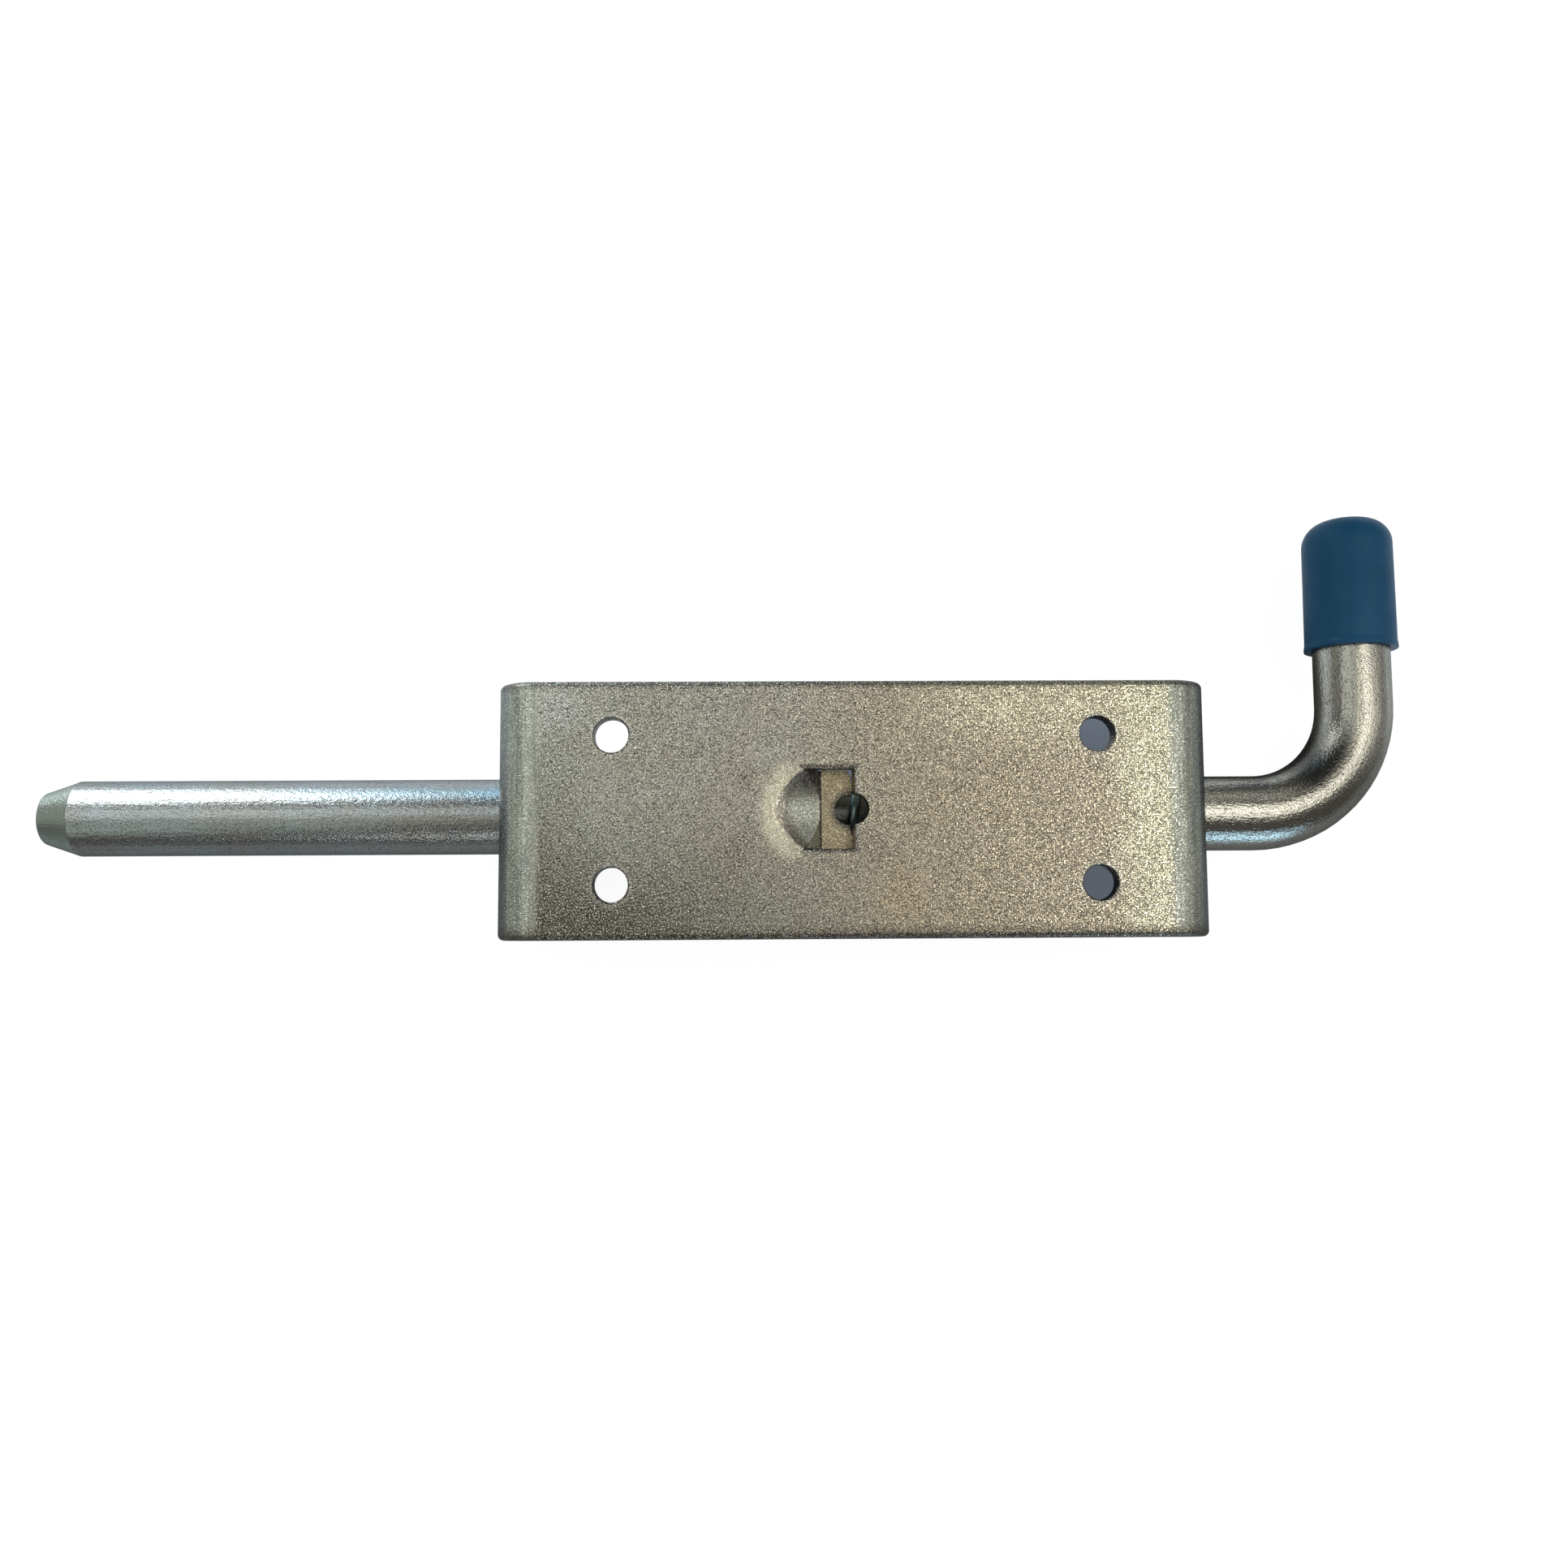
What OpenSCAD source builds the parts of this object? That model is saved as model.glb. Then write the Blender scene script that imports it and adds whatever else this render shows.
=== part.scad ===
// Spring loaded bolt: a round bolt with a bent handle slides through the two ears of a
// folded sheet bracket, and a spring on it drives it out.
// +Z leaves the mounting face, +X points to the handle end, and the handle points to +Y.
// The origin is the middle of the four fixing holes, on the mounting face.

/* [Bracket] */
// Length over the outer faces of the two ears
bracket_len = 145; // [130:1:180]
// Width of the sheet
bracket_w = 52; // [48:1:70]
// Thickness of the sheet
sheet_t = 4; // [3:0.25:4.5]
// Outer radius of the two bends
bend_r = 8; // [6:0.5:9]
// Distance from the mounting face to the free end of an ear
ear_h = 36; // [34:1:50]
// Radius of the free corners of an ear
ear_corner_r = 6; // [3:0.5:10]
// Radius rolled onto the outer edges by the cutting tool
edge_roll_r = 1.2; // [0.4:0.1:1.5]
// Distance from the mounting face to the axis of the bolt
axis_drop = 20; // [19:0.5:22]

/* [Fixing holes] */
// Diameter of a fixing hole
fix_hole_d = 7; // [4:0.5:9]
// Distance between fixing holes along the bolt
fix_pitch_x = 98; // [60:1:110]
// Distance between fixing holes across the bolt
fix_pitch_y = 30; // [26:1:34]

/* [Stop nose] */
// Width of the window that the nose is cut from
stop_w = 16.2; // [12:0.2:20]
// Length of the window, from the top of the step to the sheared edge
window_len = 10.5; // [9:0.1:13]
// Length of the steep step, along the bolt
step_len = 3.7; // [2:0.1:5]
// Depth of the nose under the mounting face
stop_drop = 4.2; // [4.1:0.1:4.6]
// Place of the sheared edge, measured from the middle of the bracket
shear_x = 0; // [-2:0.1:3]
// How far the torn wall under the sheared edge leans towards the nose
shear_lean = 0.5; // [0:0.1:0.8]
// Gap between the end of the nose and the sheared edge, once the nose is pressed in
shear_gap = 0.75; // [0.6:0.05:2]
// Gap that the tool leaves beside the nose
side_gap = 0.1; // [0.05:0.05:0.6]
// Width of the soft roll along the sheared edges of the window
shear_roll_w = 0.9; // [0.4:0.1:1.2]
// Depth of that roll at the sheared edges
shear_roll_t = 0.3; // [0.1:0.05:0.5]
// Length of the dish that runs down to the foot of the step
dish_len = 8.6; // [7:0.1:12]
// Radius across the dish
dish_r = 16.2; // [14:0.2:20]
// Radius of the soft rim where the face turns down into the dish
dish_rim_r = 8; // [4:0.5:12]
// Thickness of the sheet where the dish and the step are drawn out
drawn_t = 3.4; // [2.4:0.1:4]
// Diameter of the round hole in the middle, punched before the nose is pressed
middle_hole_d = 6.2; // [4:0.2:8]
// Place of that hole, measured from the middle of the bracket
middle_hole_x = -0.3; // [-2:0.1:2]
// How far pressing the nose draws its half of that hole back
hole_draw = 0.7; // [0:0.1:1]
// Radius rolled onto the edge of a punched hole
hole_roll_r = 0.4; // [0.1:0.1:0.8]

/* [Bolt] */
// Diameter of the bar
bolt_d = 16; // [14:0.5:17]
// How far the bolt stands out of the bracket at rest
bolt_reach = 98; // [80:1:140]
// Length of the cone at the end of the bolt
cone_len = 7.6; // [4:0.2:12]
// Diameter of the cone at the end of the bolt
cone_tip_d = 10.8; // [8:0.2:13]
// Radius of the edge around the tip
tip_edge_r = 1; // [0.3:0.1:2]
// Straight bar between the bracket and the start of the bend
neck_len = 14.2; // [10:0.2:30]
// Radius of the bend, at the middle of the bar
handle_bend_r = 23; // [20:0.5:30]
// Distance from the axis of the bolt to the end of the bar in the handle
handle_h = 62; // [56:1:90]
// Chamfer at the end of the bar in the handle
handle_chamfer = 1; // [0.4:0.1:2]
// Radial gap between the bolt and the holes in the ears
bolt_clear = 0.3; // [0.2:0.05:0.5]

/* [Handle cap] */
// Wall of the cap at its closed end
cap_wall = 1.35; // [1:0.05:2]
// Wall of the cap at its open end
cap_rim_wall = 1.5; // [1.2:0.05:2.2]
// Thickness of the closed end of the cap
cap_end_t = 2; // [1:0.1:4]
// Length of the cap
cap_len = 28.5; // [20:0.5:34]
// Radius of the rounded closed end
cap_round_r = 5.5; // [3:0.1:7]
// Height of the thin lip around the open end
lip_h = 0.7; // [0.3:0.1:1.5]
// How far the lip stands out of the wall
lip_out = 0.15; // [0.05:0.05:0.5]
// Radial fit of the cap on the bar
cap_fit = 0.02; // [0.01:0.01:0.1]

/* [Cross pin] */
// Diameter of the pin through the bolt
pin_d = 5; // [3:0.5:6]
// Gap between an end of the pin and the sheet, once the pin is turned upright
pin_end_gap = 2.8; // [2.4:0.1:3.4]
// Chamfer at the ends of the pin
pin_chamfer = 0.7; // [0.3:0.1:1.2]
// Radial fit of the pin in the bolt
pin_fit = 0.02; // [0.01:0.01:0.1]

/* [Spring and washer] */
// Diameter of the spring wire
wire_d = 2.2; // [1.4:0.1:2.4]
// Radial gap between the spring and the bolt
spring_clear = 0.5; // [0.3:0.1:0.8]
// Number of turns, with one closed turn at each end
turns = 16; // [10:1:18]
// Turn of the whole spring about its axis, in degrees
spring_turn = 50; // [0:5:355]
// Thickness of the washer
washer_t = 2; // [1:0.25:3]
// Gap between parts that touch and move
seat_gap = 0.3; // [0.2:0.05:0.4]

/* [Hidden] */
$fn = 64;

zinc = [0.66, 0.64, 0.57];
bright_zinc = [0.72, 0.74, 0.77];
spring_grey = [0.35, 0.43, 0.45];
cap_blue = [0.07, 0.25, 0.4];

// The bracket's main planes
ear_face_x = bracket_len / 2;
ear_inner_x = ear_face_x - sheet_t;
flat_len = bracket_len - 2 * bend_r;
bolt_hole_r = bolt_d / 2 + bolt_clear;

// The nose, from the top of the step to its free end
step_top_x = shear_x - window_len;
step_foot_x = step_top_x + step_len;
nose_end_x = shear_x - shear_gap;
nose_bottom = stop_drop + sheet_t;

// The torn end of the nose: places as shares of its half width, and how far each stands past its end
torn_end = [[1, -0.5], [0.85, 0], [0.55, 0.25], [-0.4, -0.15], [-0.6, 0], [-0.8, 0.8], [-1, 0.9]];
torn_reach = 1;

step_angle = atan2(stop_drop, step_len);
dish_start_x = step_foot_x - dish_len;
dish_angle = atan2(stop_drop, dish_len);
dish_cyl_len = 3 * dish_len;
dish_half_w = slope_half_w(dish_start_x, dish_angle, dish_r);
above = 1;

// The slopes that turn the face down into the dish, and how much narrower each shallower one is
rim_slopes = 4;
rim_start_x = dish_start_x - dish_rim_r * tan(dish_angle / 2);
rim_narrowing = 0.2;

// Where the arc at the edge of a punched hole starts, under the face
hole_roll_depth = 0.9 * hole_roll_r;

// The back of the step runs parallel to its front, drawn_t behind it
back_shift = drawn_t / sin(step_angle);
back_top_x = step_top_x - back_shift + sheet_t / tan(step_angle);
back_foot_x = step_top_x - back_shift + nose_bottom / tan(step_angle);

// The bolt, from its tip to its handle
bolt_r = bolt_d / 2;
tip_x = -ear_face_x - bolt_reach;
cone_start_x = tip_x + cone_len;
bend_start_x = ear_face_x + neck_len;
handle_x = bend_start_x + handle_bend_r;

// The pin rests beside the left ear, then come the washer and the spring
pin_x = -ear_inner_x + seat_gap + pin_d / 2;
pin_reach = axis_drop - sheet_t - pin_end_gap;
washer_x = pin_x + pin_d / 2 + seat_gap;
washer_r = axis_drop - nose_bottom - seat_gap;
spring_start_x = washer_x + washer_t + seat_gap;
spring_end_x = ear_inner_x - seat_gap;
coil_r = bolt_r + spring_clear + wire_d / 2;
wire_sides = 8;
turn_steps = 24;
closed_pitch = wire_d * 1.03;
open_pitch = (spring_end_x - spring_start_x - wire_d - 2 * closed_pitch) / (turns - 2);

// Steps of a rounded corner in an outline
round_steps = 12;

// The cap
cap_top_y = handle_h + cap_end_t;
cap_r = bolt_r + cap_wall;
cap_rim_r = bolt_r + cap_rim_wall;

// Lays a shape that is drawn around +Z along +X, on the axis of the bolt
module on_bolt_axis(x) {
    translate([x, 0, -axis_drop]) rotate([0, 90, 0]) children();
}

// Section across the sheet: x is the depth under the outer face, y runs over the width
module sheet_section() {
    side = bracket_w / 2;
    translate([edge_roll_r, -side]) square([sheet_t - edge_roll_r, bracket_w]);
    translate([0, edge_roll_r - side]) square([sheet_t, bracket_w - 2 * edge_roll_r]);
    for (y = [edge_roll_r - side, side - edge_roll_r]) {
        translate([edge_roll_r, y]) circle(edge_roll_r);
    }
}

// Section through the free end of an ear, with its outer edge rolled; y is the way out
module end_section(reach) {
    translate([edge_roll_r, 0]) square([sheet_t - edge_roll_r, reach]);
    square([sheet_t, reach - edge_roll_r]);
    translate([edge_roll_r, reach - edge_roll_r]) circle(edge_roll_r);
}

module bend() {
    translate([ear_face_x - bend_r, 0, -bend_r]) rotate([90, 0, 0]) rotate_extrude(angle = 90)
        translate([bend_r, 0]) mirror([1, 0]) sheet_section();
}

// A quarter disc that rounds one free corner of the ear
module ear_corner() {
    rotate([0, 90, 0]) rotate_extrude(angle = 90) mirror([1, -1]) end_section(ear_corner_r);
}

// One ear, drawn with its outer face in the plane x = 0 and its material behind it
module ear() {
    corner_z = ear_corner_r - ear_h;
    corner_y = bracket_w / 2 - ear_corner_r;
    mirror([1, 0, 0]) {
        translate([0, 0, corner_z]) linear_extrude(-bend_r - corner_z) sheet_section();
        translate([0, -corner_y, corner_z]) rotate([-90, 0, 0])
            linear_extrude(2 * corner_y) end_section(ear_corner_r);
        for (side = [0, 1]) {
            mirror([0, side, 0]) translate([0, corner_y, corner_z]) ear_corner();
        }
    }
}

module folded_sheet() {
    translate([-flat_len / 2, 0, 0]) rotate([0, 90, 0]) linear_extrude(flat_len) sheet_section();
    for (end = [0, 1]) {
        mirror([end, 0, 0]) {
            bend();
            translate([ear_face_x, 0, 0]) ear();
        }
    }
}

// A prism across the bracket from an outline drawn in x and z
module across(width) {
    translate([0, width / 2, 0]) rotate([90, 0, 0]) linear_extrude(width) children();
}

// A punched hole around +Z, with the edge of the outer face rolled into it
module punched_hole(diameter, depth) {
    rotate_extrude() difference() {
        translate([0, -depth - above]) square([diameter / 2 + hole_roll_r, depth + 2 * above]);
        translate([diameter / 2, -depth - 2 * above])
            square([2 * hole_roll_r, depth + 2 * above - hole_roll_depth]);
        translate([diameter / 2 + hole_roll_r, -hole_roll_depth]) circle(hole_roll_r);
    }
}

// Where the torn wall under the sheared edge stands, at a height z
function torn_x(z) = shear_x + shear_lean * z / sheet_t;

// How far a sloping bar has sunk under the face at the window's end, square to its own slope
function slope_sink(start_x, angle) = (step_top_x - start_x) * sin(angle);

// Half the width that a sloping bar cuts from the face there, and the radius for such a width
function slope_half_w(start_x, angle, radius) =
    let (sink = slope_sink(start_x, angle)) sqrt(2 * radius * sink - sink * sink);
function slope_radius(start_x, angle, half_w) =
    let (sink = slope_sink(start_x, angle)) (half_w * half_w + sink * sink) / (2 * sink);

// A round bar laid down a slope that leaves the face at start_x, and its larger fellow around it
module sloping_bar(start_x, angle, radius, wall = 0) {
    translate([start_x, 0, 0]) rotate([0, 90 + angle, 0])
        translate([-radius, 0, -dish_cyl_len]) cylinder(r = radius + wall, h = 2 * dish_cyl_len);
}

// The dish, whose slopes touch one arc: the last is its floor, the others are its soft rim
module dish() {
    for (i = [1:rim_slopes]) {
        angle = dish_angle * i / rim_slopes;
        start_x = rim_start_x + dish_rim_r * tan(angle / 2);
        half_w = dish_half_w - rim_narrowing * (rim_slopes - i);
        sloping_bar(start_x, angle, slope_radius(start_x, angle, half_w));
    }
}

// The room that the dish may take: free beside the window's end, inside the window past it
module dish_room(width) {
    reach = 2 * dish_len;
    low = 2 * nose_bottom;
    translate([step_top_x - reach, -dish_r, -low]) cube([reach, 2 * dish_r, low + above]);
    translate([step_top_x - above, -width / 2, -low])
        cube([step_foot_x - step_top_x + above, width, low + above]);
}

// The hole that the shears open through the whole sheet, with its torn wall
module window() {
    low = -sheet_t - above;
    across(stop_w) polygon([
        [step_top_x, above],
        [step_top_x, low],
        [torn_x(low), low],
        [torn_x(above), above]
    ]);
}

// Outline of the room over an opening from low to high, with the edges of the face rolled into it
module rolled_outline(low, high) {
    reach = shear_roll_w * (1 + above / shear_roll_t);
    polygon([
        [low, -shear_roll_t],
        [high, -shear_roll_t],
        [high + reach, above],
        [low - reach, above]
    ]);
}

// The room over the window, which rolls the edges of the face into it on all its sides
module window_roll() {
    intersection() {
        across(bracket_w) rolled_outline(step_top_x, shear_x);
        translate([-bracket_len / 2, 0, 0]) rotate([90, 0, 90]) linear_extrude(bracket_len)
            rolled_outline(-stop_w / 2, stop_w / 2);
    }
}

// What the punch presses away from outside: the window's step and the dish
module punch() {
    window_roll();
    across(stop_w) polygon([
        [step_top_x - above / tan(step_angle), above],
        [step_top_x, 0],
        [step_foot_x, -stop_drop],
        [torn_x(-stop_drop), -stop_drop],
        [torn_x(above), above]
    ]);
    intersection() {
        dish();
        dish_room(stop_w);
    }
}

// What is missing past the torn end of the nose
module torn_off(width) {
    translate([nose_end_x, 0, -nose_bottom - above]) linear_extrude(nose_bottom + above) polygon(concat(
        [for (p = torn_end) [p[1], p[0] * width / 2]],
        [[torn_reach, -width], [2 * torn_reach, -width], [2 * torn_reach, width], [torn_end[0][1], width]]
    ));
}

// The sheet that the punch pushes inwards: the nose, its step and the back of the dish
module pressed_out() {
    tongue_w = stop_w - 2 * side_gap;
    difference() {
        across(tongue_w) polygon([
            [back_top_x, -sheet_t],
            [back_foot_x, -nose_bottom],
            [nose_end_x + torn_reach, -nose_bottom],
            [nose_end_x + torn_reach, -stop_drop],
            [step_foot_x, -stop_drop],
            [step_foot_x, 0],
            [back_top_x, 0]
        ]);
        torn_off(tongue_w);
    }
    intersection() {
        sloping_bar(dish_start_x, dish_angle, dish_r, drawn_t);
        dish_room(tongue_w);
        translate([-bracket_len / 2, -bracket_w / 2, -nose_bottom])
            cube([bracket_len, bracket_w, nose_bottom - sheet_t / 2]);
    }
}

module bracket() {
    color(zinc) difference() {
        union() {
            difference() {
                folded_sheet();
                window();
            }
            pressed_out();
        }
        punch();
        for (x = [middle_hole_x, middle_hole_x - hole_draw]) {
            translate([x, 0, -nose_bottom - above]) cylinder(d = middle_hole_d, h = nose_bottom + 2 * above);
        }
        for (x = [-0.5, 0.5], y = [-0.5, 0.5]) {
            translate([x * fix_pitch_x, y * fix_pitch_y, 0]) punched_hole(fix_hole_d, sheet_t);
        }
        on_bolt_axis(-bracket_len) cylinder(r = bolt_hole_r, h = 2 * bracket_len);
    }
}

// Half outline of the cone and its rounded tip, turned around the axis of the bolt
module cone_profile() {
    slope = atan2(bolt_r - cone_tip_d / 2, cone_len);
    tip_r = cone_tip_d / 2;
    centre_r = tip_r - tip_edge_r * (1 - sin(slope)) / cos(slope);
    polygon(concat(
        [[0, cone_len], [0, 0]],
        [for (i = [0:round_steps]) let (a = -90 + i * (90 - slope) / round_steps)
            [centre_r + tip_edge_r * cos(a), tip_edge_r + tip_edge_r * sin(a)]],
        [[bolt_r, cone_len]]
    ));
}

module bolt() {
    color(bright_zinc) difference() {
        union() {
            on_bolt_axis(tip_x) rotate_extrude() cone_profile();
            on_bolt_axis(cone_start_x) cylinder(r = bolt_r, h = bend_start_x - cone_start_x);
            translate([bend_start_x, handle_bend_r, -axis_drop]) rotate(-90) rotate_extrude(angle = 90)
                translate([handle_bend_r, 0]) circle(bolt_r);
            translate([handle_x, handle_bend_r, -axis_drop]) rotate([-90, 0, 0])
                cylinder(r = bolt_r, h = handle_h - handle_bend_r - handle_chamfer);
            translate([handle_x, handle_h - handle_chamfer, -axis_drop]) rotate([-90, 0, 0])
                cylinder(r1 = bolt_r, r2 = bolt_r - handle_chamfer, h = handle_chamfer);
        }
        translate([pin_x, -bolt_d, -axis_drop]) rotate([-90, 0, 0])
            cylinder(r = pin_d / 2 + pin_fit, h = 2 * bolt_d);
    }
}

// Half outline of the cap: a rounded closed end, a slight taper and a thin lip at the rim
module cap_profile() {
    bore_r = bolt_r + cap_fit;
    bore_depth = cap_len - cap_end_t;
    polygon(concat(
        [[bore_r, 0], [cap_rim_r + lip_out, 0], [cap_rim_r + lip_out, lip_h], [cap_rim_r, 2 * lip_h]],
        [for (i = [0:round_steps]) let (a = i * 90 / round_steps)
            [cap_r - cap_round_r * (1 - cos(a)), cap_len - cap_round_r * (1 - sin(a))]],
        [[0, cap_len], [0, bore_depth], [bore_r - handle_chamfer, bore_depth]],
        [[bore_r, bore_depth - handle_chamfer]]
    ));
}

module handle_cap() {
    color(cap_blue) translate([handle_x, cap_top_y - cap_len, -axis_drop]) rotate([-90, 0, 0])
        rotate_extrude() cap_profile();
}

module cross_pin() {
    color(bright_zinc) translate([pin_x, 0, -axis_drop]) rotate([-90, 0, 0]) {
        for (end = [0, 1]) {
            mirror([0, 0, end]) {
                cylinder(d = pin_d, h = pin_reach - pin_chamfer);
                translate([0, 0, pin_reach - pin_chamfer])
                    cylinder(r1 = pin_d / 2, r2 = pin_d / 2 - pin_chamfer, h = pin_chamfer);
            }
        }
    }
}

module washer() {
    color(bright_zinc) on_bolt_axis(washer_x) difference() {
        cylinder(r = washer_r, h = washer_t);
        translate([0, 0, -above]) cylinder(r = bolt_hole_r, h = washer_t + 2 * above);
    }
}

// Distance along the spring after a number of turns; the first and last turn are closed
function coil_advance(turn) =
    turn < 1 ? turn * closed_pitch
    : turn < turns - 1 ? closed_pitch + (turn - 1) * open_pitch
    : closed_pitch + (turns - 2) * open_pitch + (turn - turns + 1) * closed_pitch;

// One corner of the wire's section, at a step along the coil
function wire_point(step, corner) =
    let (turn = step / turn_steps)
    let (around = spring_turn + 360 * turn)
    let (section = 360 * corner / wire_sides)
    let (radius = coil_r + wire_d / 2 * cos(section))
    [
        spring_start_x + wire_d / 2 + coil_advance(turn) + wire_d / 2 * sin(section),
        radius * cos(around),
        -axis_drop - radius * sin(around)
    ];

module spring() {
    steps = turns * turn_steps;
    points = [for (s = [0:steps], c = [0:wire_sides - 1]) wire_point(s, c)];
    sides = [for (s = [0:steps - 1], c = [0:wire_sides - 1]) let (n = (c + 1) % wire_sides)
        [s * wire_sides + c, (s + 1) * wire_sides + c, (s + 1) * wire_sides + n, s * wire_sides + n]];
    first_end = [for (c = [0:wire_sides - 1]) c];
    last_end = [for (c = [wire_sides - 1:-1:0]) steps * wire_sides + c];
    color(spring_grey) polyhedron(points, concat(sides, [first_end, last_end]), convexity = 10);
}

bracket();
bolt();
handle_cap();
cross_pin();
washer();
spring();
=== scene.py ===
"""Looks of a spring loaded bolt: a zinc plated bolt in a folded bracket, with a blue cap on its handle."""

import math

import bpy
from mathutils import Matrix, Vector


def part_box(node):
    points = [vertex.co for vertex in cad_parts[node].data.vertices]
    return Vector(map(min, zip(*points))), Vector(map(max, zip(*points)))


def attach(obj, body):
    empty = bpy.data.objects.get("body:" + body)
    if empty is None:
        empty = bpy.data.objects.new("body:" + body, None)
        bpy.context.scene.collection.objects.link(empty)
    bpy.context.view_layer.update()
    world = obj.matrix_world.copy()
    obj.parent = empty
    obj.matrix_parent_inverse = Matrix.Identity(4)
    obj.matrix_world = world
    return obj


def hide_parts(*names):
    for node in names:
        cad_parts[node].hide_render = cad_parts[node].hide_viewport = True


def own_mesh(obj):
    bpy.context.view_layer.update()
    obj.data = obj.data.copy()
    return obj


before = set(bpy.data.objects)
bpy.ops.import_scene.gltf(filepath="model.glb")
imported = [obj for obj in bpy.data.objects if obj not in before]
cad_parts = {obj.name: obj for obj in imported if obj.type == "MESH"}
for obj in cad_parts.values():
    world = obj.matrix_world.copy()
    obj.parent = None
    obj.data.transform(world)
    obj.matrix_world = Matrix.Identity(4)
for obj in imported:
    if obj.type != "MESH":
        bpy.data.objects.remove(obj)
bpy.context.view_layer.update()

MM = 0.001

# Camera, found from the outlines in the photograph
CAMERA_AT_MM = (-18.74, -20.45, 281.06)
CAMERA_LOOK = Vector((0.01576, 0.09014, -0.9958))
CAMERA_UP = Vector((0.00456, 0.99591, 0.09022))
SENSOR_MM = 36.0
FOCAL_MM = 32.335
CLIP_START = 0.01

# Spring, as in the CAD source
SPRING_TURNS = 16
SPRING_TURN_DEG = 50
WIRE_D = 2.2 * MM
CLOSED_PITCH = 1.03 * WIRE_D

# The rounder wire that is drawn here
WIRE_SIDES = 16
TURN_STEPS = 40

# Places on the bar and the bracket, as in the CAD source
BAR_BEND_MM = (86.7, 23)
CONE_START_X = -162.9 * MM
SHEET_FOLD_X = 63.4 * MM
STEP_FOOT_X = -6.8 * MM
STOP_HALF_W = 8.1 * MM
STOP_MIDDLE_X = -5.3 * MM
HOLES_MM = ((-49, -15), (-49, 15), (49, -15), (49, 15))

# Round patches in millimetres: the place, how far it is even, and how far it reaches
PALE_PATCH = (-60, 21, 2, 9)
WARM_PATCH = (9, -17, 2, 9)
SMUDGES = ((-24, -8.5, 1, 6.5), (-22, 6, 0.5, 3.5), (4.5, -8.5, 0.5, 4))
NOSE_HALO_HIGHLIGHT = (-11.5, -0.5, 8, 11.5)
TONGUE_HOLE = (-0.7, 0, 3.4, 4.8)
HANDLE_CROOK_REFLECTION = (101, 9.5, 3, 12)
HANDLE_SHADE = (92, 24, 12, 34)

# Colours of the sheet's face
FACE_LEFT = (0.67, 0.67, 0.61)
FACE_RIGHT = (0.62, 0.53, 0.40)
FACE_CLOUD = (0.60, 0.52, 0.43)
FACE_LOW_LEFT_SHADE = (0.07, 0.062, 0.056)
FACE_FAR_LEFT_SHADE = (0.24, 0.235, 0.21)
FACE_HIGH_RIGHT_HIGHLIGHT = (0.97, 0.90, 0.68)
FACE_RIGHT_END_HIGHLIGHT = (1.0, 0.96, 0.72)
FACE_PALE = (0.90, 0.96, 0.93)
FACE_WARM = (0.80, 0.60, 0.38)
FACE_HALO_HIGHLIGHT = (1.0, 0.93, 0.74)
FACE_SMUDGE = (0.36, 0.29, 0.25)
FACE_STAIN = (0.40, 0.35, 0.30)
FACE_FURROW = (0.03, 0.027, 0.024)
FACE_SPECK_GLINT = (1.0, 0.95, 0.80)

# Colours of the sheet's holes, folds, edges and nose
HOLE_RIM_HIGHLIGHT = (0.92, 0.88, 0.80)
HOLE_EDGE_SHADE = (0.16, 0.14, 0.12)
FOLD_LEFT = (0.63, 0.655, 0.56)
FOLD_RIGHT = (0.60, 0.62, 0.55)
FOLD_LINES = (0.42, 0.44, 0.395)
FOLD_FOOT_SHADE = (0.33, 0.35, 0.35)
EDGE_SHADE = (0.12, 0.11, 0.10)
FRONT_EDGE_SHADE = (0.20, 0.165, 0.135)
NOSE_ROLLED_SHADE = (0.20, 0.17, 0.18)
NOSE_CREVICE_SHADE = (0.03, 0.03, 0.028)
DISH_FRONT_LIT = (0.86, 0.88, 0.78)
DISH_BACK_SHADE = (0.22, 0.20, 0.21)
TONGUE = (0.50, 0.42, 0.28)
TONGUE_HOLE_SHADE = (0.16, 0.14, 0.12)

# Colours of the bar
BAR_LEFT = (0.445, 0.480, 0.490)
BAR_RIGHT = (0.470, 0.455, 0.400)
BAR_CLOUD = (0.415, 0.390, 0.350)
BAR_LINES = (0.25, 0.24, 0.22)
BAR_GRAIN = (0.09, 0.09, 0.09)
BAR_RIPPLE = (0.13, 0.13, 0.13)
BAR_CROOK_REFLECTION = (0.06, 0.06, 0.055)
BAR_CONE = (0.52, 0.58, 0.53)
BAR_UNDER_WEB_SHADE = (0.05, 0.05, 0.05)

# Colours of the smaller pieces
CAP_DEEP = (0.006, 0.079, 0.180)
CAP_LIGHT = (0.010, 0.094, 0.203)
CAP_RUBBED = (0.02, 0.15, 0.28)
PIN_TINT = (0.42, 0.42, 0.41)
WASHER_TINT = (0.40, 0.39, 0.37)
WIRE_TINT = (0.22, 0.29, 0.31)

# Studio
CEILING_MM = 560
FLOOR_HALF = 40.0
FLOOR_STRENGTH = 0.92
FLOOR_GREY = (0.26, 0.26, 0.26)
FLOOR_SHADED = (0.21, 0.25, 0.38)
FLOOR_WHITE = (1.0, 1.0, 1.0)
FLOOR_COOL = (0.84, 0.93, 1.0)
WORLD_COLOUR = (0.98, 0.95, 0.88, 1.0)
WORLD_STRENGTH = 0.12


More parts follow.
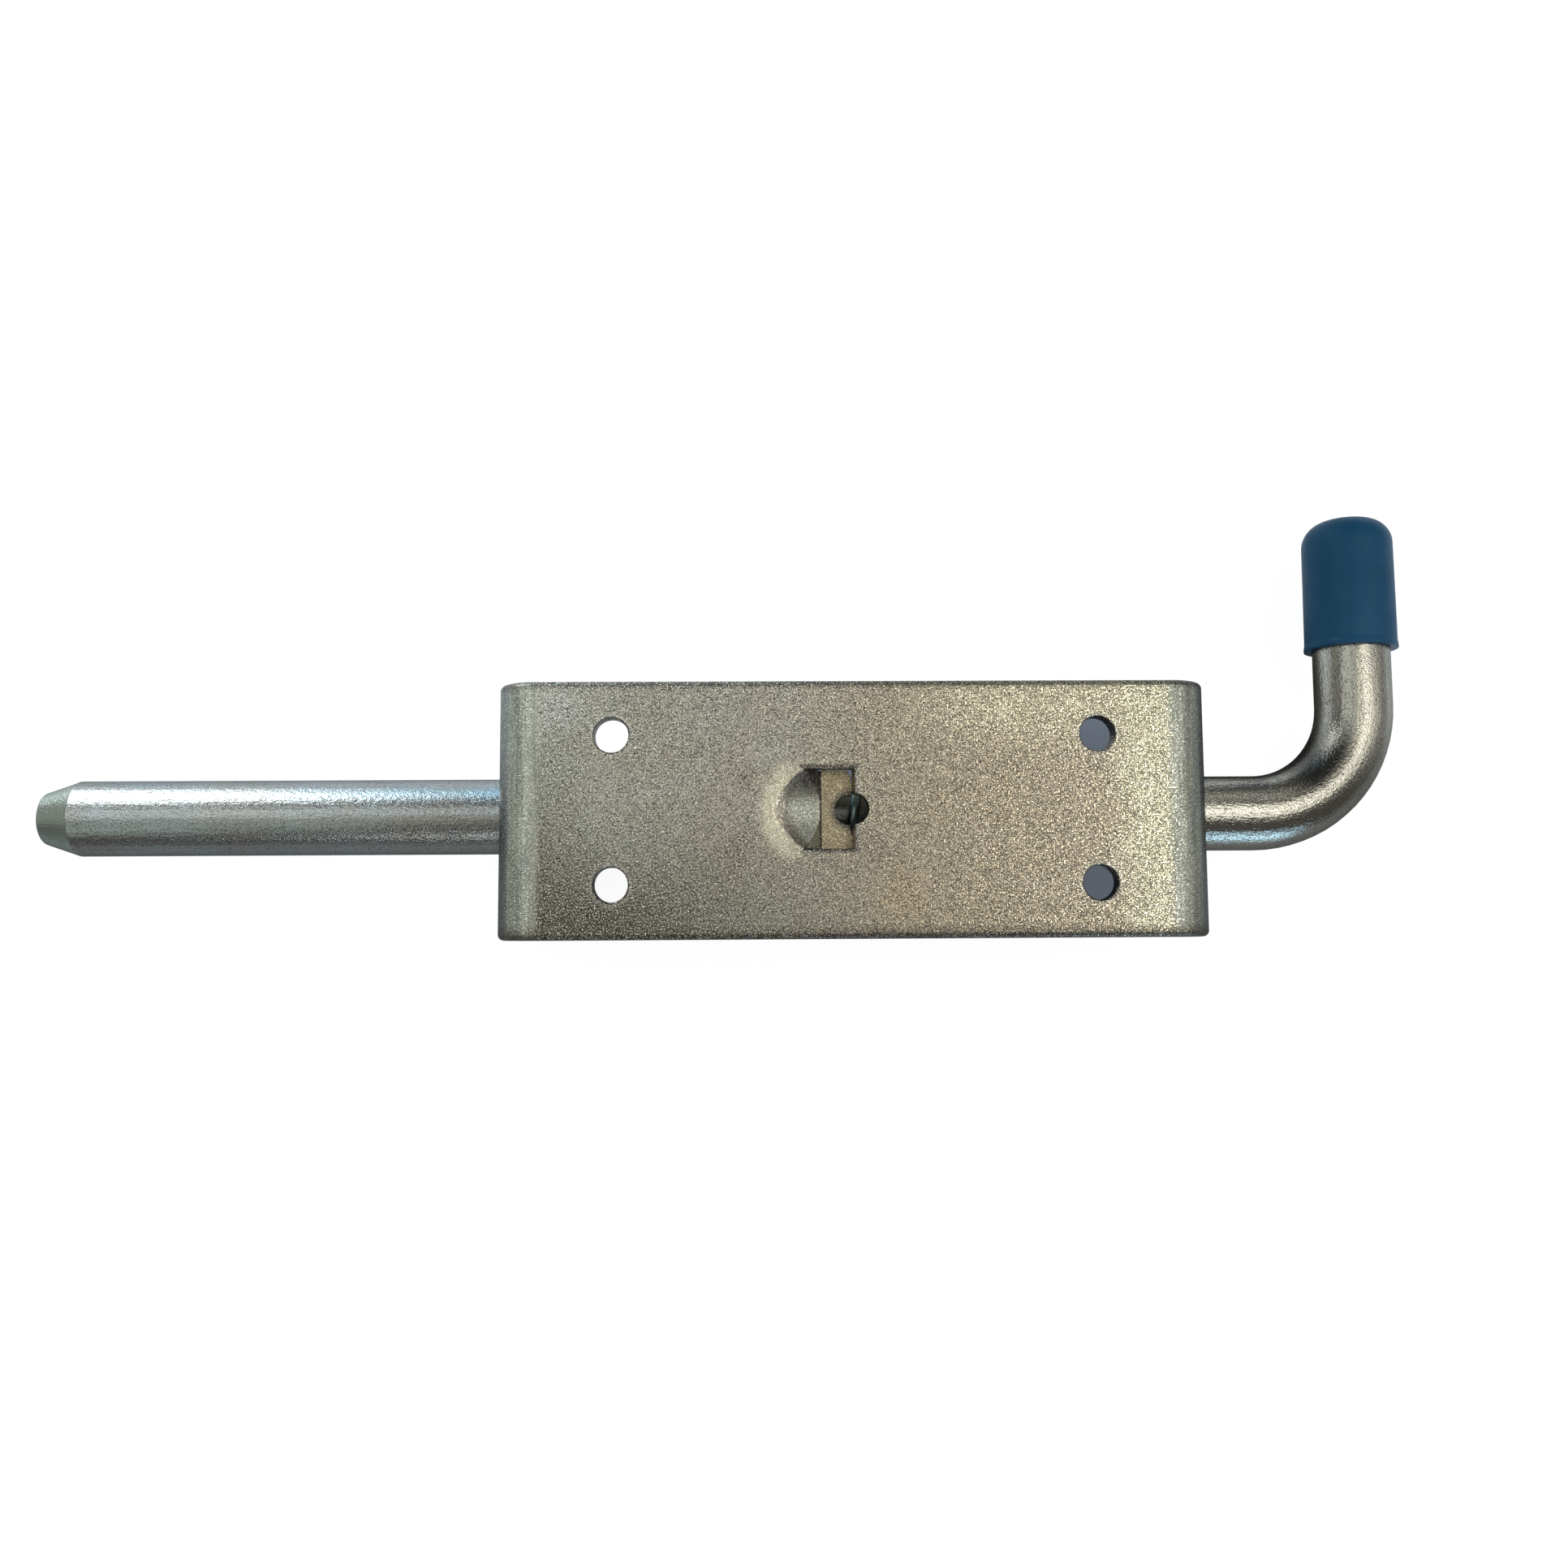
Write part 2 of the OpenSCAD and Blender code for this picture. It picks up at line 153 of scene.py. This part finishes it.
class Nodes:
    """Short calls that build a shader's nodes. Sizes of features are in millimetres."""

    def __init__(self, name):
        self.material = bpy.data.materials.new(name)
        self.material.use_nodes = True
        self.tree = self.material.node_tree
        self.tree.nodes.clear()
        self.output = self.add("ShaderNodeOutputMaterial")
        self.place = self.add("ShaderNodeTexCoord").outputs["Object"]

    def add(self, kind, **settings):
        node = self.tree.nodes.new(kind)
        for key, value in settings.items():
            setattr(node, key, value)
        return node

    def link(self, source, target):
        self.tree.links.new(source, target)

    def fill(self, socket, value):
        """Links a socket, or sets a number or a colour on it."""
        if isinstance(value, bpy.types.NodeSocket):
            self.link(value, socket)
        elif socket.type == "RGBA":
            socket.default_value = (*value, 1.0)
        else:
            socket.default_value = value

    def noise(self, feature, detail=2.0, roughness=0.5, stretch=(1, 1, 1), seed=0.0, place=None):
        mapping = self.add("ShaderNodeMapping")
        mapping.inputs["Scale"].default_value = stretch
        mapping.inputs["Location"].default_value = (seed, seed, seed)
        self.link(place or self.place, mapping.inputs["Vector"])
        noise = self.add("ShaderNodeTexNoise")
        self.link(mapping.outputs[0], noise.inputs["Vector"])
        noise.inputs["Scale"].default_value = 1 / (feature * MM)
        noise.inputs["Detail"].default_value = detail
        noise.inputs["Roughness"].default_value = roughness
        return noise.outputs["Fac"]

    def ramp(self, source, low, high, to_low=0.0, to_high=1.0):
        """A smooth step from one value to another, while the source goes from low to high."""
        node = self.add("ShaderNodeMapRange", interpolation_type="SMOOTHSTEP")
        self.fill(node.inputs["Value"], source)
        for socket, value in zip(node.inputs[1:5], (low, high, to_low, to_high)):
            self.fill(socket, value)
        return node.outputs["Result"]

    def chain(self, operation, first, *others):
        """One operation on two or more values, from the first to the last."""
        for other in others:
            node = self.add("ShaderNodeMath", operation=operation)
            self.fill(node.inputs[0], first)
            self.fill(node.inputs[1], other)
            first = node.outputs[0]
        return first

    def plus(self, *values):
        return self.chain("ADD", *values)

    def minus(self, *values):
        return self.chain("SUBTRACT", *values)

    def times(self, *values):
        return self.chain("MULTIPLY", *values)

    def most(self, *values):
        return self.chain("MAXIMUM", *values)

    def size(self, value):
        """The value without its sign."""
        return self.chain("ABSOLUTE", value, 0.0)

    def distance(self, a, b):
        """The length of the long side over two short ones."""
        return self.chain("SQRT", self.plus(self.times(a, a), self.times(b, b)), 0.0)

    def split(self):
        """The three coordinates of the place."""
        node = self.add("ShaderNodeSeparateXYZ")
        self.link(self.place, node.inputs[0])
        return node.outputs[0], node.outputs[1], node.outputs[2]

    def near(self, x, y, inner, outer, squeeze=1.0):
        """1 within a distance of a place on the face, 0 past a larger one, in millimetres."""
        at_x, at_y, _ = self.split()
        off_x = self.times(self.minus(at_x, x * MM), squeeze)
        off_y = self.minus(at_y, y * MM)
        return self.ramp(self.distance(off_x, off_y), outer * MM, inner * MM)

    def along_bar(self, share):
        """The place beside the bar's middle line, the height, and a share of the way along it."""
        x, y, z = self.split()
        past = self.most(self.minus(x, BAR_BEND_MM[0] * MM), 0.0)
        before = self.most(self.minus(BAR_BEND_MM[1] * MM, y), 0.0)
        node = self.add("ShaderNodeCombineXYZ")
        self.link(self.distance(past, before), node.inputs[0])
        self.link(z, node.inputs[1])
        self.link(self.times(self.plus(x, y), share), node.inputs[2])
        return node.outputs[0]

    def mix(self, share, a, b):
        """Colour a, or colour b where the share is 1. The node's first sockets are for numbers."""
        node = self.add("ShaderNodeMix", data_type="RGBA")
        self.fill(node.inputs[0], share)
        self.fill(node.inputs[6], a)
        self.fill(node.inputs[7], b)
        return node.outputs[2]

    def patch(self, colour, place, share, tint):
        """Lays a share of a tint over a colour, in a round patch."""
        return self.mix(self.times(self.near(*place), share), colour, tint)

    def bump(self, height, depth, strength=1.0, normal=None):
        node = self.add("ShaderNodeBump")
        node.inputs["Strength"].default_value = strength
        node.inputs["Distance"].default_value = depth * MM
        self.link(height, node.inputs["Height"])
        if normal is not None:
            self.link(normal, node.inputs["Normal"])
        return node.outputs[0]

    def finish(self, **inputs):
        shader = self.add("ShaderNodeBsdfPrincipled")
        for key, value in inputs.items():
            self.fill(shader.inputs[key.replace("_", " ")], value)
        self.link(shader.outputs[0], self.output.inputs["Surface"])
        return self.material


def tint_face(n, x, y, cloud, halo_highlight):
    """The flat of the sheet: greenish on the left, cream on the right, with painted shade at the lower left
    and the far left, and painted highlights at the upper right, at the right end and by the nose.
    """
    stain = n.noise(7, detail=3.0, seed=11.0)
    # Painted shade at the lower left and at the far left of the face
    low_left_shade = n.times(n.ramp(x, 10 * MM, -62 * MM), n.ramp(y, 2 * MM, -25 * MM), 0.92)
    far_left = n.times(n.ramp(x, -48 * MM, -62 * MM), n.ramp(y, 25 * MM, -10 * MM, 0.0, 0.5))
    # Painted highlights at the upper right and in a band at the right end of the face
    high_right_highlight = n.times(n.ramp(x, 0, 28 * MM), n.ramp(y, 8 * MM, 22 * MM), 0.8)
    right_end_highlight = n.ramp(n.plus(x, n.times(cloud, 12 * MM)), 55 * MM, 66 * MM)
    colour = n.mix(n.ramp(x, -40 * MM, 20 * MM), FACE_LEFT, FACE_RIGHT)
    colour = n.mix(n.ramp(cloud, 0.35, 0.65, 0.0, 0.6), colour, FACE_CLOUD)
    colour = n.mix(low_left_shade, colour, FACE_LOW_LEFT_SHADE)
    colour = n.mix(far_left, colour, FACE_FAR_LEFT_SHADE)
    colour = n.mix(high_right_highlight, colour, FACE_HIGH_RIGHT_HIGHLIGHT)
    colour = n.mix(right_end_highlight, colour, FACE_RIGHT_END_HIGHLIGHT)
    colour = n.patch(colour, PALE_PATCH, 0.5, FACE_PALE)
    # A warm orange patch on the lower face, right of the middle
    colour = n.patch(colour, WARM_PATCH, 0.35, FACE_WARM)
    colour = n.mix(n.times(halo_highlight, 0.95), colour, FACE_HALO_HIGHLIGHT)
    for smudge in SMUDGES:
        colour = n.patch(colour, smudge, 0.4, FACE_SMUDGE)
    return n.mix(n.ramp(stain, 0.60, 0.78, 0.0, 0.3), colour, FACE_STAIN)


def tint_holes(n, colour):
    """A painted highlight round each fixing hole's rim and a painted shade line at its edge."""
    for x, y in HOLES_MM:
        colour = n.patch(colour, (x, y, 4.0, 5.0), 0.35, HOLE_RIM_HIGHLIGHT)
        colour = n.mix(n.near(x + 0.15, y - 0.15, 3.6, 3.9), colour, HOLE_EDGE_SHADE)
    return colour


def tint_folds(n, colour, x, y, folds):
    """The folds at both ends, with lines across them and painted shade on their steep outer strips, and
    painted shade along the long edges of the sheet, deeper along the front.
    """
    lines = n.noise(0.8, detail=2.0, stretch=(1, 0.05, 1), seed=2.0)
    fold = n.mix(n.ramp(x, -1 * MM, 1 * MM), FOLD_LEFT, FOLD_RIGHT)
    fold = n.mix(n.ramp(lines, 0.35, 0.65), fold, FOLD_LINES)
    # Painted shade on the steep outer strip of each fold
    fold = n.mix(n.ramp(n.size(x), 69.6 * MM, 70.6 * MM), fold, FOLD_FOOT_SHADE)
    colour = n.mix(folds, colour, fold)
    # Painted shade along the long edges, deeper along the front edge
    colour = n.mix(n.ramp(n.size(y), 24.0 * MM, 25.2 * MM, 0.0, 0.7), colour, EDGE_SHADE)
    return n.mix(n.ramp(y, -22.6 * MM, -24.6 * MM, 0.0, 0.6), colour, FRONT_EDGE_SHADE)


def tint_nose(n, colour, x, y, rolled, sunk):
    """The pressed nose: painted shade on its rolled edges, a dish painted lit at the front and shaded at the
    back, a brownish tongue with painted shade round its hole, and painted shade lines at the foot and one
    side.
    """
    # The dish painted lit at the front and shaded at the back
    dish = n.mix(n.ramp(y, 0.5 * MM, 6 * MM), DISH_FRONT_LIT, DISH_BACK_SHADE)
    # Painted shade on the tongue round its hole
    tongue = n.mix(n.near(*TONGUE_HOLE), TONGUE, TONGUE_HOLE_SHADE)
    in_dish = n.ramp(x, STEP_FOOT_X + 0.1 * MM, STEP_FOOT_X - 0.1 * MM)
    from_foot = n.size(n.minus(x, STEP_FOOT_X))
    from_side = n.size(n.plus(y, STOP_HALF_W))
    from_middle = n.size(n.minus(x, STOP_MIDDLE_X))
    # Painted shade lines at the step's foot and along one side of the window
    foot_line = n.times(sunk, n.ramp(from_foot, 0.25 * MM, 0.08 * MM))
    side_line = n.times(n.ramp(from_side, 0.35 * MM, 0.15 * MM), n.ramp(from_middle, 5.4 * MM, 5.0 * MM))
    # Painted shade on the rolled edges round the window
    colour = n.mix(n.times(rolled, 0.65), colour, NOSE_ROLLED_SHADE)
    colour = n.mix(sunk, colour, n.mix(in_dish, tongue, dish))
    return n.mix(n.most(foot_line, side_line), colour, NOSE_CREVICE_SHADE)


def sheet_zinc():
    """Zinc plated sheet: a fine wormy grain over the tones of its face, folds and nose."""
    n = Nodes("sheet_zinc")
    x, y, z = n.split()
    worms = n.noise(0.42, detail=1.0, seed=3.0)
    # Bright specks in the grain, painted as glints
    speck_glints = n.ramp(n.noise(0.30, detail=1.0, seed=9.0), 0.52, 0.66)
    cloud = n.noise(18, detail=4.0, roughness=0.55, seed=7.0)
    swing = n.minus(worms, 0.5)
    furrows = n.ramp(n.size(swing), 0.0, 0.12, 1.0, 0.0)

    # A painted highlight on the sheet's slope at the left of the nose's dish
    halo_highlight = n.times(n.near(*NOSE_HALO_HIGHLIGHT, squeeze=1.3), n.ramp(x, -8 * MM, -15 * MM))
    uneven_x = n.plus(n.size(x), n.times(swing, 3 * MM))
    folds = n.ramp(uneven_x, SHEET_FOLD_X - 0.7 * MM, SHEET_FOLD_X + 0.9 * MM)
    at_nose = n.times(n.ramp(n.size(x), 22 * MM, 18 * MM), n.ramp(n.size(y), 13 * MM, 11 * MM))
    rolled = n.times(at_nose, n.ramp(z, -0.02 * MM, -0.15 * MM))
    sunk = n.times(at_nose, n.ramp(z, -0.4 * MM, -1.6 * MM))

    colour = tint_face(n, x, y, cloud, halo_highlight)
    colour = tint_holes(n, colour)
    colour = tint_folds(n, colour, x, y, folds)
    colour = tint_nose(n, colour, x, y, rolled, sunk)

    grainy = n.minus(1.0, n.times(n.most(folds, halo_highlight, sunk), 0.55))
    # Painted glints, more of them towards the left, fewer on the folds and the nose
    glint_share = n.ramp(x, 20 * MM, -30 * MM, 0.5, 0.8)
    colour = n.mix(n.times(furrows, 0.94, grainy), colour, FACE_FURROW)
    colour = n.mix(n.times(speck_glints, glint_share, grainy), colour, FACE_SPECK_GLINT)
    height = n.plus(n.times(furrows, -0.35), worms)
    return n.finish(
        Base_Color=colour,
        Metallic=1.0,
        Roughness=n.ramp(worms, 0.35, 0.65, 0.20, 0.34),
        Specular_Tint=(0.6, 0.6, 0.6),
        Normal=n.bump(height, 0.18, 0.6),
    )


def bar_zinc():
    """Bright zinc plated bar: short ripples and faint lines drawn along it, and a turned, duller cone."""
    n = Nodes("bar_zinc")
    x, _, z = n.split()
    ripple = n.noise(0.55, detail=3.0, roughness=0.6, place=n.along_bar(0.5))
    lines = n.noise(0.8, detail=3.0, roughness=0.6, place=n.along_bar(0.025))
    grain = n.noise(0.33, detail=2.0, seed=5.0)
    cloud = n.noise(15, detail=3.0, seed=2.0)
    cone = n.ramp(x, CONE_START_X + 0.2 * MM, CONE_START_X - 0.2 * MM)
    # A painted dark reflection in the crook of the handle
    crook_reflection = n.times(n.near(*HANDLE_CROOK_REFLECTION), n.near(*BAR_BEND_MM, 20, 24), 0.85)
    # Painted shade on the top of the bar under the bracket's web
    under_web_shade = n.times(n.ramp(n.size(x), 45 * MM, 20 * MM), n.ramp(z, -19 * MM, -15 * MM, 0.0, 0.75))
    colour = n.mix(n.ramp(x, -70 * MM, 80 * MM), BAR_LEFT, BAR_RIGHT)
    colour = n.mix(n.ramp(cloud, 0.35, 0.65, 0.0, 0.5), colour, BAR_CLOUD)
    colour = n.mix(n.ramp(lines, 0.55, 0.70, 0.0, 0.45), colour, BAR_LINES)
    colour = n.mix(n.ramp(grain, 0.55, 0.68, 0.0, 0.7), colour, BAR_GRAIN)
    colour = n.mix(n.ramp(ripple, 0.58, 0.70, 0.0, 0.40), colour, BAR_RIPPLE)
    colour = n.mix(crook_reflection, colour, BAR_CROOK_REFLECTION)
    colour = n.mix(cone, colour, BAR_CONE)
    colour = n.mix(under_web_shade, colour, BAR_UNDER_WEB_SHADE)
    height = n.plus(ripple, n.times(grain, 0.5))
    return n.finish(
        Base_Color=colour,
        Metallic=1.0,
        Roughness=n.plus(n.ramp(grain, 0.3, 0.7, 0.10, 0.19), n.times(cone, 0.15)),
        Specular_Tint=(0.5, 0.5, 0.5),
        Normal=n.bump(lines, 0.08, 0.6, n.bump(height, 0.16, 0.6)),
    )


def small_zinc(name, tint, roughness):
    """Zinc plated small part, plainer than the bar."""
    n = Nodes(name)
    grain = n.noise(0.5, detail=2.0)
    cloud = n.noise(6, detail=2.0, seed=4.0)
    shade = tuple(0.7 * c for c in tint)
    return n.finish(
        Base_Color=n.mix(n.ramp(cloud, 0.35, 0.65), tint, shade),
        Metallic=1.0,
        Roughness=n.ramp(grain, 0.3, 0.7, roughness - 0.05, roughness + 0.08),
        Normal=n.bump(grain, 0.05, 0.4),
    )


def cap_plastic():
    """Soft blue plastic with a satin skin and faint rubbed patches."""
    n = Nodes("cap_plastic")
    cloud = n.noise(11, detail=3.0, seed=1.0)
    skin = n.noise(1.1, detail=3.0, seed=6.0)
    rubbed = n.noise(4, detail=4.0, roughness=0.65, stretch=(1, 0.35, 1), seed=9.0)
    colour = n.mix(n.ramp(cloud, 0.3, 0.7), CAP_DEEP, CAP_LIGHT)
    colour = n.mix(n.ramp(rubbed, 0.62, 0.80, 0.0, 0.2), colour, CAP_RUBBED)
    return n.finish(
        Base_Color=colour,
        Roughness=n.ramp(rubbed, 0.3, 0.7, 0.42, 0.55),
        Specular_IOR_Level=0.28,
        IOR=1.45,
        Normal=n.bump(skin, 0.04, 0.3),
    )


def pale_floor():
    """Even white to the camera, while metal mirrors it cooler, and darker in front and under the handle."""
    n = Nodes("floor")
    x, y, _ = n.split()
    paths = n.add("ShaderNodeLightPath").outputs
    mirrored = paths["Is Glossy Ray"]
    shown = n.most(paths["Is Camera Ray"], mirrored, paths["Is Transmission Ray"])
    dim = n.most(n.ramp(y, 40 * MM, -10 * MM, 0.0, 0.8), n.near(*HANDLE_SHADE), 0.08)

    # The shaded ground in the bracket that is seen through its right holes and the nose
    between = n.times(n.ramp(x, -35 * MM, -15 * MM), n.ramp(x, 69 * MM, 66 * MM))
    under = n.times(between, n.ramp(n.size(y), 26 * MM, 23 * MM))

    light = n.minus(shown, n.times(mirrored, dim), n.times(under, 0.9))
    diffuse = n.add("ShaderNodeBsdfDiffuse")
    n.fill(diffuse.inputs["Color"], n.mix(under, FLOOR_GREY, FLOOR_SHADED))
    glow = n.add("ShaderNodeEmission")
    n.fill(glow.inputs["Color"], n.mix(n.most(mirrored, under), FLOOR_WHITE, FLOOR_COOL))
    n.fill(glow.inputs["Strength"], n.times(n.most(light, 0.0), FLOOR_STRENGTH))
    both = n.add("ShaderNodeAddShader")
    n.link(diffuse.outputs[0], both.inputs[0])
    n.link(glow.outputs[0], both.inputs[1])
    n.link(both.outputs[0], n.output.inputs["Surface"])
    return n.material


def dress(node, material):
    """Gives a CAD node one material."""
    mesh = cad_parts[node].data
    mesh.materials.clear()
    mesh.materials.append(material)


def spring_mesh(name):
    """The spring as a round wire, over the coil that the frame holds."""
    low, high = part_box("spring")
    axis_z = (high.z + low.z) / 2
    coil_r = (high.z - low.z) / 2 - WIRE_D / 2
    open_turns = SPRING_TURNS - 2
    open_pitch = (high.x - low.x - WIRE_D - 2 * CLOSED_PITCH) / open_turns

    def advance(turn):
        """The way along the axis after some turns. The first and the last turn are closed."""
        closed = min(turn, 1) + max(turn - 1 - open_turns, 0)
        return CLOSED_PITCH * closed + open_pitch * min(max(turn - 1, 0), open_turns)

    points, faces = [], []
    steps = SPRING_TURNS * TURN_STEPS
    for step in range(steps + 1):
        turn = step / TURN_STEPS
        around = math.radians(SPRING_TURN_DEG + 360 * turn)
        for side in range(WIRE_SIDES):
            section = 2 * math.pi * side / WIRE_SIDES
            radius = coil_r + WIRE_D / 2 * math.cos(section)
            x = low.x + WIRE_D / 2 + advance(turn) + WIRE_D / 2 * math.sin(section)
            points.append((x, radius * math.cos(around), axis_z - radius * math.sin(around)))
    for step in range(steps):
        for side in range(WIRE_SIDES):
            after = (side + 1) % WIRE_SIDES
            a, b = step * WIRE_SIDES, (step + 1) * WIRE_SIDES
            faces.append((a + side, b + side, b + after, a + after))
    faces.append(tuple(range(WIRE_SIDES)))
    faces.append(tuple(steps * WIRE_SIDES + side for side in reversed(range(WIRE_SIDES))))
    mesh = bpy.data.meshes.new(name)
    mesh.from_pydata(points, [], faces)
    mesh.update()
    mesh.polygons.foreach_set("use_smooth", [len(p.vertices) == 4 for p in mesh.polygons])
    obj = bpy.data.objects.new(name, mesh)
    bpy.context.scene.collection.objects.link(obj)
    return obj


def add_spring():
    """The spring, which shortens against its end at the handle's side."""
    spring = spring_mesh("spring_coil")
    spring.data.materials.append(small_zinc("wire_zinc", WIRE_TINT, 0.3))
    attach(spring, "bracket")
    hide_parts("spring")
    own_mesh(spring)


def add_camera():
    data = bpy.data.cameras.new("camera")
    data.sensor_fit = "HORIZONTAL"
    data.sensor_width = SENSOR_MM
    data.lens = FOCAL_MM
    data.clip_start = CLIP_START
    camera = bpy.data.objects.new("camera", data)
    bpy.context.scene.collection.objects.link(camera)
    look = CAMERA_LOOK.normalized()
    right = look.cross(CAMERA_UP).normalized()
    turn = Matrix((right, right.cross(look), -look)).transposed()
    camera.matrix_world = Matrix.Translation(Vector(CAMERA_AT_MM) * MM) @ turn.to_4x4()
    bpy.context.scene.camera = camera


def add_floor(z):
    """A wide pale floor at the height that the ears stand on."""
    mesh = bpy.data.meshes.new("floor")
    corners = [(x * FLOOR_HALF, y * FLOOR_HALF, z) for x, y in ((-1, -1), (1, -1), (1, 1), (-1, 1))]
    mesh.from_pydata(corners, [], [(0, 1, 2, 3)])
    floor = bpy.data.objects.new("floor", mesh)
    bpy.context.scene.collection.objects.link(floor)
    mesh.materials.append(pale_floor())


def set_world():
    world = bpy.data.worlds.new("studio")
    bpy.context.scene.world = world
    world.use_nodes = True
    background = world.node_tree.nodes["Background"]
    background.inputs["Color"].default_value = WORLD_COLOUR
    background.inputs["Strength"].default_value = WORLD_STRENGTH


def add_softbox(name, at, aim, size, radiance, colour, spread=180):
    """A soft rectangular lamp. Its place, its aim and its size are in millimetres, its spread in degrees."""
    data = bpy.data.lights.new(name, "AREA")
    data.shape = "RECTANGLE"
    data.size, data.size_y = size[0] * MM, size[1] * MM
    data.energy = radiance * math.pi * data.size * data.size_y
    if spread < 180:
        # A narrower lamp gets brighter at the same power, so the power goes down with it
        half = math.radians(spread / 2)
        data.spread = 2 * half
        data.energy *= (math.tan(half) - half) / math.tan(half)
    data.color = colour
    lamp = bpy.data.objects.new(name, data)
    bpy.context.scene.collection.objects.link(lamp)
    at, aim = Vector(at) * MM, Vector(aim) * MM
    lamp.matrix_world = Matrix.Translation(at) @ (aim - at).to_track_quat("-Z", "Y").to_matrix().to_4x4()
    return lamp


def add_ceiling(name, x, y, radiance, colour):
    """A softbox that hangs level over the object, between two places along x and along y."""
    middle = ((x[0] + x[1]) / 2, (y[0] + y[1]) / 2)
    add_softbox(name, (*middle, CEILING_MM), (*middle, 0), (x[1] - x[0], y[1] - y[0]), radiance, colour)


def add_lamps():
    """Lamps that stand where the photograph's reflections ask for them."""
    warm, neutral, cool = (1.0, 0.92, 0.76), (1.0, 1.0, 0.92), (0.94, 1.0, 0.98)
    brown, dusky, blue = (1.0, 0.66, 0.38), (1.0, 0.66, 0.40), (0.42, 0.76, 1.0)

    # Overhead, for the sheet's face and the top of the bar
    add_ceiling("key", (185, 335), (-140, 150), 3.7, neutral)
    add_ceiling("key_side", (335, 900), (-50, 230), 1.25, neutral)
    add_ceiling("middle_back", (65, 185), (70, 200), 1.5, warm)
    add_ceiling("middle_front", (65, 185), (-45, 70), 0.95, warm)
    add_ceiling("middle_left", (-35, 65), (75, 290), 1.1, cool)
    add_ceiling("left_back", (-260, -110), (50, 290), 0.85, cool)
    add_ceiling("left_front", (-140, -10), (-45, 50), 0.45, cool)
    add_ceiling("left_dusk", (-260, -140), (-45, 50), 0.22, dusky)
    add_ceiling("left_brown", (-270, -140), (-330, -50), 0.25, brown)
    add_ceiling("far_left", (-640, -260), (-60, 330), 1.05, cool)

    # From the sides, for the streaks along the bar, the folds and the handle
    tip, shaft, neck, stub = (-145, 0, -15), (-128, 0, -15), (-80, 0, -15), (90, 0, -15)
    add_softbox("white_window", (-400, 440, 155), shaft, (270, 540), 9.0, (0.95, 1.0, 1.0), spread=50)
    add_softbox("blue_window", (-205, 560, 150), neck, (210, 480), 2.3, blue, spread=38)
    add_softbox("left_low", (-800, 60, 230), (-68, 0, -5), (460, 420), 0.24, (0.95, 1.0, 0.90))
    add_softbox("back_right", (360, 700, 560), stub, (300, 260), 0.9, (0.95, 1.0, 0.96))
    add_softbox("front_left", (-420, -330, 480), tip, (260, 480), 0.5, (0.85, 1.0, 0.93))
    add_softbox("front_strip", (-190, -760, 380), neck, (300, 50), 4.6, (0.97, 1.0, 0.98))
    add_softbox("front_window", (400, -760, 60), stub, (360, 240), 3.8, (0.48, 0.76, 1.0))
    add_softbox("right_window", (900, 60, 260), (100, 20, -15), (500, 300), 0.3, (0.98, 1.0, 1.0))
    fill = add_softbox("right_fill", (700, 80, 300), (110, 50, -15), (500, 300), 1.2, (0.98, 1.0, 1.0))
    fill.visible_glossy = False


def build():
    bpy.context.scene.view_settings.view_transform = "Standard"
    add_camera()
    dress("bracket", sheet_zinc())
    dress("bolt", bar_zinc())
    dress("handle_cap", cap_plastic())
    dress("cross_pin", small_zinc("pin_zinc", PIN_TINT, 0.3))
    dress("washer", small_zinc("washer_zinc", WASHER_TINT, 0.4))
    add_spring()
    add_floor(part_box("bracket")[0].z)
    set_world()
    add_lamps()


build()
